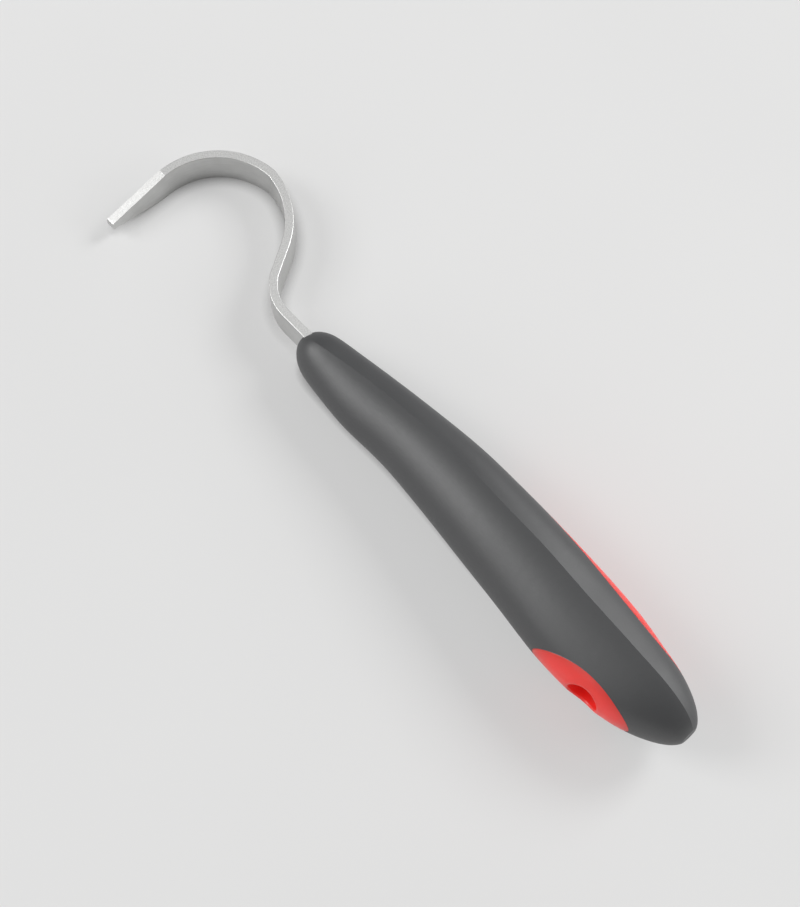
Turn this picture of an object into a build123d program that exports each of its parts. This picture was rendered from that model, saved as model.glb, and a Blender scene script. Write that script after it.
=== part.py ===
"""Hoof pick: a bent flat steel hook moulded into a two-material handle.

Three separate pieces:
  hook_blade   flat steel strip, bent to a hook and tapered, with a tang inside the handle
  handle_core  hard plastic core round the tang, showing through two windows, with the hang hole
  grip_sleeve  soft moulding that covers the core everywhere except at the windows

Frame: the origin is the middle of the hang hole, on the tool's mirror plane (XY).
+X runs along the handle towards the hook, +Y is the side that the hook's tip points to,
and +Z is up when the tool lies on its side. Millimetres.
"""
import os
from math import cos, pi, radians, sin

from build123d import *

# ---- steel strip ---------------------------------------------------------------
STRIP_WIDTH = 10.0
STRIP_THICKNESS = 2.3
STRIP_INNER_ROUND = 0.2    # corners on the side that faces into the crook
STRIP_OUTER_ROUND = 0.7    # the opposite corners, rounded by the blanking die
NOSE_X = 114.0             # where the strip leaves the handle
TANG_LENGTH = 66.0         # length of strip held inside the handle
TANG_HOLE_RADIUS = 2.4     # lock holes that the core's plastic runs through
TANG_HOLES_X = (62.0, 82.0)
NECK_STRAIGHT = 7.2
NECK_BEND = (12.5, -58.9)  # centreline radius, turn in degrees (minus is away from the tip side)
SHANK_STRAIGHT = 7.4
HOOK_BENDS = ((24.5, 52.0), (7.0, 12.6), (20.5, 84.7))
TIP_STRAIGHT = 19.0
TAPER_LENGTH = 18.6
TIP_WIDTH = 2.4
TIP_CORNER = 0.8

# ---- handle ---------------------------------------------------------------------
# One row per station: place along X, Y of the section's middle, half width (Y), half
# height (Z), how far the ridge line lies from the middle towards the back, and how
# steeply each side falls away from the ridge, in degrees (tip side, back).
STATIONS = (
    (-23.7, 1.8, 7.1, 10.4, 2.0, 8.0, 30.0),
    (-6.0, 2.6, 10.7, 11.9, 3.0, 8.0, 30.0),
    (4.0, 2.3, 12.2, 12.4, 3.1, 8.0, 29.0),
    (16.0, 1.7, 12.6, 12.5, 3.1, 7.0, 25.0),
    (30.0, 0.6, 12.0, 12.4, 3.0, 5.0, 17.0),
    (45.0, -0.3, 11.3, 12.0, 2.5, 4.0, 9.0),
    (60.0, -1.0, 10.4, 11.2, 2.5, 4.0, 5.0),
    (76.0, -0.9, 9.1, 10.0, 2.1, 4.0, 5.0),
    (92.0, 0.2, 8.3, 8.8, 1.9, 6.0, 7.0),
    (114.1, 0.5, 5.5, 7.7, -1.2, 14.0, 12.0),
)
BUTT_ROUND = (18.4, 2.5)        # length of the rounded end, and its fullness (2 is an ellipse)
NOSE_ROUND = (8.4, 2.3)
BUTT_FLAT = 0.45                # how much of each rounded end is cut off flat
NOSE_FLAT = 0.05
SECTION_COUNT = 26
TIP_FULLNESS = 0.57             # how far each section bulges between the ridge and a side
BACK_FULLNESS = 0.70
SLEEVE_WALL = 2.2

# ---- windows in the sleeve, and the hang hole -------------------------------------
TIP_WINDOW_X = 1.7
TIP_WINDOW = (14.6, 7.9)        # half length, half height of the ellipse
BACK_WINDOW_X = 5.0
BACK_WINDOW = (22.0, 50.0, 8.6)  # reach to the butt, reach to the nose, half height
WINDOW_EDGE_ROUND = 0.3
HANG_HOLE_RADIUS = 4.4
HANG_HOLE_ROUND = 0.5
FAR = 30.0                      # further than any point of the handle from its axis

TIP_SIDE = Plane(origin=(0, 0, 0), x_dir=(1, 0, 0), z_dir=(0, 1, 0))
BACK_SIDE = Plane(origin=(0, 0, 0), x_dir=(1, 0, 0), z_dir=(0, -1, 0))


def station_at(x):
    """Smooth curve through the stations (a cubic between each two), read at x."""
    last = len(STATIONS) - 2
    i = max(k for k in range(last + 1) if k == 0 or STATIONS[k][0] <= x)
    before, start = STATIONS[max(i - 1, 0)], STATIONS[i]
    stop, after = STATIONS[i + 1], STATIONS[min(i + 2, last + 1)]
    span = stop[0] - start[0]
    t = (x - start[0]) / span
    values = []
    for p0, p1, p2, p3 in zip(before[1:], start[1:], stop[1:], after[1:]):
        slope1 = (p2 - p0) / (stop[0] - before[0]) * span
        slope2 = (p3 - p1) / (after[0] - start[0]) * span
        rise = p2 - p1
        values.append(p1 + t * slope1 + t * t * (3 * rise - 2 * slope1 - slope2)
                      + t**3 * (slope1 + slope2 - 2 * rise))
    return values


def end_round(reach, end, inset):
    """Share of the full section that is left, at a distance from the end of the handle."""
    length, fullness = end[0] - inset, end[1]
    into = min(max(1 - reach / length, 0), 1)
    return (1 - into**fullness) ** (1 / fullness)


def handle_sections(inset):
    """Sections from butt to nose, closer together towards the rounded ends."""
    butt_x, nose_x = STATIONS[0][0] + inset, STATIONS[-1][0] - inset
    first, last = butt_x + BUTT_FLAT, nose_x - NOSE_FLAT
    rows = []
    for i in range(SECTION_COUNT):
        share = (1 - cos(pi * i / (SECTION_COUNT - 1))) / 2
        x = first + (last - first) * share
        middle, width, height, ridge, tip_fall, back_fall = station_at(x)
        left = end_round(x - butt_x, BUTT_ROUND, inset) * end_round(nose_x - x, NOSE_ROUND, inset)
        rows.append((x, middle, (width - inset) * left, (height - inset) * left,
                     middle - ridge * left, radians(tip_fall), radians(back_fall)))
    return rows


def section_outline(row):
    """Closed outline, mirrored about the XY plane, with a crease at the top and bottom ridge."""
    _, middle, width, height, ridge, tip_fall, back_fall = row
    for side, fall, fullness in ((1, tip_fall, TIP_FULLNESS), (-1, back_fall, BACK_FULLNESS)):
        edge = middle + side * width
        arm = fullness * (edge - ridge) * cos(fall)
        drop = fullness * abs(edge - ridge) * sin(fall)
        for up in (1, -1):
            Bezier(
                (ridge, up * height),
                (ridge + arm, up * (height - drop)),
                (edge, up * fullness * height),
                (edge, 0),
            )


def section_face(row):
    """One cross-section of the handle, in its place."""
    with BuildSketch(Plane.YZ.offset(row[0])) as section:
        with BuildLine():
            section_outline(row)
        make_face()
    return section.sketch.face()


def handle_body(inset):
    """The handle's whole body, inset from its outer surface."""
    with BuildPart() as body:
        loft([section_face(row) for row in handle_sections(inset)])
    return body.part


def tip_window():
    """Ellipse of the window on the tip side."""
    with BuildSketch(TIP_SIDE) as window:
        with Locations((TIP_WINDOW_X, 0)):
            Ellipse(*TIP_WINDOW)
    return window.sketch


def back_window():
    """Teardrop of the window on the back: two half ellipses of one height."""
    butt_reach, nose_reach, half_height = BACK_WINDOW
    with BuildSketch(BACK_SIDE) as window:
        with BuildLine():
            EllipticalCenterArc((BACK_WINDOW_X, 0), nose_reach, half_height, -90, arc_size=180)
            EllipticalCenterArc((BACK_WINDOW_X, 0), butt_reach, half_height, 90, arc_size=180)
        make_face()
    return window.sketch


# ---- hook_blade -------------------------------------------------------------------
with BuildPart() as hook_blade:
    with BuildLine() as centreline:
        tang = Line((NOSE_X - TANG_LENGTH, 0), (NOSE_X, 0))
        neck = Line(tang @ 1, tang @ 1 + Vector(NECK_STRAIGHT, 0))
        bend = JernArc(neck @ 1, neck % 1, NECK_BEND[0], NECK_BEND[1])
        end = PolarLine(bend @ 1, SHANK_STRAIGHT, direction=bend % 1)
        for bend_radius, turn in HOOK_BENDS:
            end = JernArc(end @ 1, end % 1, bend_radius, turn)
        tip_run = PolarLine(end @ 1, TIP_STRAIGHT, direction=end % 1)
    with BuildSketch(Plane(origin=tang @ 0, x_dir=(0, 1, 0), z_dir=(1, 0, 0))) as strip_section:
        Rectangle(STRIP_THICKNESS, STRIP_WIDTH)
        corners = strip_section.vertices().group_by(Axis.Y)
        fillet(corners[-1], STRIP_INNER_ROUND)
        fillet(corners[0], STRIP_OUTER_ROUND)
    sweep(path=centreline.wire())

    # the tip narrows from both edges of the strip
    tip_point, tip_direction = tip_run @ 1, tip_run % 1
    tip_plane = Plane(origin=tip_point, x_dir=-tip_direction, z_dir=tip_direction.rotate(Axis.Z, 90))
    with BuildSketch(tip_plane):
        for up in (1, -1):
            with BuildLine():
                Polyline(
                    (0, up * TIP_WIDTH / 2),
                    (TAPER_LENGTH, up * STRIP_WIDTH / 2),
                    (TAPER_LENGTH, up * STRIP_WIDTH),
                    (-TIP_WIDTH, up * STRIP_WIDTH),
                    (-TIP_WIDTH, up * TIP_WIDTH / 2),
                    close=True,
                )
            make_face()
    extrude(amount=STRIP_THICKNESS, both=True, mode=Mode.SUBTRACT)
    across_tip = hook_blade.edges().filter_by(Axis(tip_point, tip_plane.z_dir))
    fillet(across_tip.sort_by_distance(tip_point)[:2], TIP_CORNER)

    # lock holes in the tang
    with BuildSketch(TIP_SIDE):
        with Locations(*[(x, 0) for x in TANG_HOLES_X]):
            Circle(TANG_HOLE_RADIUS)
    extrude(amount=STRIP_THICKNESS, both=True, mode=Mode.SUBTRACT)

# ---- the handle's outer shape, and its window pads ----------------------------------
envelope = handle_body(0)

with BuildPart() as tip_pad:
    add(envelope)
    extrude(tip_window(), amount=FAR, mode=Mode.INTERSECT)

with BuildPart() as back_pad:
    add(envelope)
    extrude(back_window(), amount=FAR, mode=Mode.INTERSECT)

with BuildPart() as core_blank:
    add(handle_body(SLEEVE_WALL))
    add(tip_pad.part)
    add(back_pad.part)

# ---- handle_core --------------------------------------------------------------------
with BuildPart() as handle_core:
    add(core_blank.part)
    add(hook_blade.part, mode=Mode.SUBTRACT)
    with BuildSketch(TIP_SIDE):
        Circle(HANG_HOLE_RADIUS)
    extrude(amount=FAR, both=True, mode=Mode.SUBTRACT)
    bore = handle_core.faces().filter_by(GeomType.CYLINDER).sort_by_distance((0, 0, 0))[0]
    fillet(bore.edges().filter_by(GeomType.LINE, reverse=True), HANG_HOLE_ROUND)
    pad_walls = handle_core.faces().filter_by(GeomType.EXTRUSION)
    rims = [
        wall.edges().filter_by(GeomType.BSPLINE).sort_by(lambda edge: abs(edge.center().Y))[-1]
        for wall in pad_walls
    ]
    fillet(rims, WINDOW_EDGE_ROUND)

# ---- grip_sleeve --------------------------------------------------------------------
with BuildPart() as grip_sleeve:
    add(envelope)
    add(core_blank.part, mode=Mode.SUBTRACT)
    add(hook_blade.part, mode=Mode.SUBTRACT)

os.makedirs("parts", exist_ok=True)
for name, piece in (
    ("hook_blade", hook_blade),
    ("handle_core", handle_core),
    ("grip_sleeve", grip_sleeve),
):
    piece.part.label = name
    export_step(piece.part, f"parts/{name}.step")
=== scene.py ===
"""Hoof pick: a steel strip hook in a grey soft grip over a red core, lying on a pale surface."""
from math import atan2, cos, radians, sin

import bmesh
import bpy
from mathutils import Matrix, Vector


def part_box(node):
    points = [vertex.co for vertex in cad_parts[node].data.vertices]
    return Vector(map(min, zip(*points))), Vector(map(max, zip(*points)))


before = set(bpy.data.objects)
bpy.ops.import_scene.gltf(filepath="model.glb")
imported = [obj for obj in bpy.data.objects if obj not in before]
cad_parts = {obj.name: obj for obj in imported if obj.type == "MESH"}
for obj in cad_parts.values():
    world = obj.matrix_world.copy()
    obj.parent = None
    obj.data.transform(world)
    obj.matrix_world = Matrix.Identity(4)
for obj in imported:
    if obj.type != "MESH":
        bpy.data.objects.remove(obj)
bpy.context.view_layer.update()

scene = bpy.context.scene

# ---------------------------------------------------------------- camera
AIM = Vector((0.0746, 0.0033, 0.0))
AZIMUTH, ELEVATION, ROLL = 228.6, 67.0, -0.97  # degrees
DISTANCE = 0.4586
LENS, SENSOR_WIDTH, NEAR_CLIP = 73.7, 36, 0.01


def make_camera():
    """Camera above the tool, looking at AIM; gives the view's right and back directions."""
    azimuth, elevation, roll = radians(AZIMUTH), radians(ELEVATION), radians(ROLL)
    back = Vector((sin(azimuth) * cos(elevation), -cos(azimuth) * cos(elevation), sin(elevation)))
    right = Vector((cos(azimuth), sin(azimuth), 0))
    up = back.cross(right)
    rolled_right = right * cos(roll) + up * sin(roll)
    rolled_up = up * cos(roll) - right * sin(roll)
    data = bpy.data.cameras.new("camera")
    data.sensor_width = SENSOR_WIDTH
    data.lens = LENS
    data.clip_start = NEAR_CLIP
    camera = bpy.data.objects.new("camera", data)
    scene.collection.objects.link(camera)
    turn = Matrix((rolled_right, rolled_up, back)).transposed().to_4x4()
    camera.matrix_world = Matrix.Translation(AIM + back * DISTANCE) @ turn
    scene.camera = camera
    return right, back


view_right, view_back = make_camera()

# ---------------------------------------------------------------- node helpers


class Shader:
    """A material's node tree, with short calls for the nodes used here."""

    def __init__(self, name):
        self.material = bpy.data.materials.new(name)
        self.material.use_nodes = True
        self.tree = self.material.node_tree
        self.bsdf = self.tree.nodes["Principled BSDF"]
        self.place = self.tree.nodes.new("ShaderNodeTexCoord").outputs["Object"]

    def node(self, kind, **settings):
        made = self.tree.nodes.new(kind)
        for key, value in settings.items():
            setattr(made, key, value)
        return made

    def wire(self, source, target):
        self.tree.links.new(source, target)

    def set(self, **values):
        for key, value in values.items():
            self.bsdf.inputs[key.replace("_", " ")].default_value = value

    def scaled(self, source, scale):
        mapping = self.node("ShaderNodeMapping")
        mapping.inputs["Scale"].default_value = scale
        self.wire(source, mapping.inputs["Vector"])
        return mapping.outputs["Vector"]

    def noise(self, scale, detail=3.0, roughness=0.5, place=None):
        made = self.node("ShaderNodeTexNoise")
        made.inputs["Scale"].default_value = scale
        made.inputs["Detail"].default_value = detail
        made.inputs["Roughness"].default_value = roughness
        self.wire(place or self.place, made.inputs["Vector"])
        return made.outputs["Fac"]

    def span(self, source, low, high, out_low=0.0, out_high=1.0):
        made = self.node("ShaderNodeMapRange")
        for key, value in (("From Min", low), ("From Max", high),
                           ("To Min", out_low), ("To Max", out_high)):
            made.inputs[key].default_value = value
        self.wire(source, made.inputs["Value"])
        return made.outputs["Result"]

    def blend(self, factor, first, second):
        made = self.node("ShaderNodeMix", data_type="RGBA")
        self.wire(factor, made.inputs["Factor"])
        for socket, value in ((made.inputs["A"], first), (made.inputs["B"], second)):
            if isinstance(value, tuple):
                socket.default_value = (*value, 1)
            else:
                self.wire(value, socket)
        return made.outputs["Result"]

    def bump(self, height, distance, below=None):
        made = self.node("ShaderNodeBump")
        made.inputs["Distance"].default_value = distance
        self.wire(height, made.inputs["Height"])
        if below:
            self.wire(below, made.inputs["Normal"])
        return made.outputs["Normal"]


# ---------------------------------------------------------------- materials
def brushed_steel():
    """Rolled strip: flat faces with grain along them, and brighter, rougher ground edges.

    The edges are the faces that look along Z; the strip's corners keep the flat faces' tone.
    """
    shader = Shader("brushed_steel")
    split = shader.node("ShaderNodeSeparateXYZ")
    shader.wire(shader.node("ShaderNodeTexCoord").outputs["Normal"], split.inputs["Vector"])
    upright = shader.node("ShaderNodeMath", operation="ABSOLUTE")
    shader.wire(split.outputs["Z"], upright.inputs[0])
    edge = shader.span(upright.outputs["Value"], 0.86, 0.96)
    along_strip = shader.scaled(shader.place, (140, 140, 5200))
    grain = shader.noise(1, 3, 0.6, along_strip)
    cloud = shader.noise(160, 3, 0.55)
    pits = shader.noise(3200, 3, 0.65)
    flat = shader.blend(shader.span(cloud, 0.3, 0.7), (0.57, 0.57, 0.56), (0.65, 0.65, 0.64))
    flat = shader.blend(shader.span(grain, 0.35, 0.7, 0.0, 0.35), flat, (0.44, 0.44, 0.44))
    ground = shader.blend(shader.span(pits, 0.35, 0.65), (0.67, 0.67, 0.66), (0.91, 0.91, 0.90))
    shader.wire(shader.blend(edge, flat, ground), shader.bsdf.inputs["Base Color"])
    shader.wire(shader.span(edge, 0, 1, 0.34, 0.55), shader.bsdf.inputs["Roughness"])
    shader.set(Metallic=1.0)
    normal = shader.bump(grain, 0.000008)
    normal = shader.bump(pits, 0.00002, normal)
    shader.wire(normal, shader.bsdf.inputs["Normal"])
    return shader.material


def gloss_plastic():
    """Red moulded plastic, glossy with a faint orange peel, slightly translucent."""
    shader = Shader("gloss_plastic")
    cloud = shader.noise(120, 2, 0.5)
    peel = shader.noise(900, 2, 0.5)
    tone = shader.blend(shader.span(cloud, 0.3, 0.7), (0.93, 0.030, 0.024), (0.97, 0.040, 0.030))
    shader.wire(tone, shader.bsdf.inputs["Base Color"])
    shader.wire(shader.span(peel, 0.3, 0.7, 0.32, 0.40), shader.bsdf.inputs["Roughness"])
    shader.wire(shader.bump(peel, 0.00001), shader.bsdf.inputs["Normal"])
    shader.set(Specular_IOR_Level=0.7, Subsurface_Weight=0.85, Subsurface_Scale=0.006,
               Subsurface_Radius=(1.0, 0.08, 0.05))
    return shader.material


def soft_rubber():
    """Dark grey soft moulding: satin, with a very fine spark-eroded grain."""
    shader = Shader("soft_rubber")
    cloud = shader.noise(45, 3, 0.55)
    grain = shader.noise(2600, 3, 0.6)
    scuff = shader.noise(1, 4, 0.6, shader.scaled(shader.place, (90, 420, 420)))
    tone = shader.blend(shader.span(cloud, 0.3, 0.7), (0.034, 0.035, 0.037), (0.039, 0.040, 0.042))
    tone = shader.blend(shader.span(scuff, 0.55, 0.8, 0.0, 0.3), tone, (0.050, 0.051, 0.053))
    shader.wire(tone, shader.bsdf.inputs["Base Color"])
    shader.wire(shader.span(grain, 0.3, 0.7, 0.46, 0.54), shader.bsdf.inputs["Roughness"])
    shader.wire(shader.bump(grain, 0.00001), shader.bsdf.inputs["Normal"])
    shader.set(Specular_IOR_Level=1.0)
    return shader.material


FINISHES = {
    "hook_blade": brushed_steel(),
    "handle_core": gloss_plastic(),
    "grip_sleeve": soft_rubber(),
}
for name, finish in FINISHES.items():
    node = bpy.data.objects[name]
    for slot in node.material_slots:
        slot.material = finish

# ---------------------------------------------------------------- floor
hook_low, hook_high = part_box("hook_blade")
grip_low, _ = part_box("grip_sleeve")
BELLY_X = 0.013          # where the grip touches the floor
HEEL_INSET = 0.012       # from the hook's far end to where it touches
FLOOR_REACH = 3.0
# Painted contact shade: the floor's glow drops from OPEN_GLOW to the dimmer value within this
# reach of a surface
CONTACT_SHADE_REACH = 0.0035      # how near a surface has to be to darken the floor under it
CONTACT_SHADE_GLOW, OPEN_GLOW = 0.05, 0.39


def make_floor():
    """Pale, faintly glowing surface that touches the grip's belly and the hook's lower edge, with
    painted contact shade where a surface comes near.
    """
    belly = Vector((BELLY_X, 0, grip_low[2]))
    heel = Vector((hook_high[0] - HEEL_INSET, 0, hook_low[2]))
    tilt = atan2(heel.z - belly.z, heel.x - belly.x)
    mesh = bpy.data.meshes.new("floor")
    made = bmesh.new()
    corners = [made.verts.new((x * FLOOR_REACH, y * FLOOR_REACH, 0)) for x, y in
               ((-1, -1), (1, -1), (1, 1), (-1, 1))]
    made.faces.new(corners)
    made.to_mesh(mesh)
    made.free()
    floor = bpy.data.objects.new("floor", mesh)
    scene.collection.objects.link(floor)
    floor.matrix_world = Matrix.Translation(belly) @ Matrix.Rotation(-tilt, 4, "Y")
    shader = Shader("floor_paper")
    shade = shader.noise(6, 2, 0.5)
    tone = shader.blend(shader.span(shade, 0.3, 0.7), (0.33, 0.33, 0.328), (0.35, 0.35, 0.348))
    shader.wire(tone, shader.bsdf.inputs["Base Color"])
    # painted contact shade: ambient occlusion dims the floor's glow under nearby surfaces
    painted_contact_shade = shader.node("ShaderNodeAmbientOcclusion", samples=8)
    painted_contact_shade.inputs["Distance"].default_value = CONTACT_SHADE_REACH
    shader.wire(shader.span(painted_contact_shade.outputs["AO"], 0.4, 1.0, CONTACT_SHADE_GLOW, OPEN_GLOW),
                shader.bsdf.inputs["Emission Strength"])
    shader.set(Roughness=0.9, Specular_IOR_Level=0.1, Emission_Color=(1, 1, 1, 1))
    mesh.materials.append(shader.material)


make_floor()


# ---------------------------------------------------------------- lights
LIGHT_DISTANCE = 1.6
WORLD_STRENGTH = 0.28
# name, bearing from the view's right towards away, height above the horizon, size, watts
LIGHTS = (
    ("right_back_box", 28, 37, (0.6, 0.6), 15.0),
    ("left_box", 174, 43, (0.7, 0.8), 13.0),
    ("right_card", -4, 23, (0.9, 0.5), 6.5),
    ("low_left_card", 208, 25, (0.9, 0.5), 3.2),
)


def soft_light(name, bearing, height, size, power):
    """Rectangular area light that looks at AIM; bearing and height are in degrees."""
    data = bpy.data.lights.new(name, "AREA")
    data.shape = "RECTANGLE"
    data.size, data.size_y = size
    data.energy = power
    light = bpy.data.objects.new(name, data)
    scene.collection.objects.link(light)
    away = Vector((-view_back.x, -view_back.y, 0)).normalized()
    flat = view_right * cos(radians(bearing)) + away * sin(radians(bearing))
    toward = flat * cos(radians(height)) + Vector((0, 0, 1)) * sin(radians(height))
    light.location = AIM + toward * LIGHT_DISTANCE
    light.rotation_euler = toward.to_track_quat("Z", "Y").to_euler()


for light_row in LIGHTS:
    soft_light(*light_row)

world = bpy.data.worlds.new("studio")
world.use_nodes = True
background = world.node_tree.nodes["Background"]
background.inputs["Color"].default_value = (1, 1, 1, 1)
background.inputs["Strength"].default_value = WORLD_STRENGTH
scene.world = world
scene.view_settings.view_transform = "Standard"
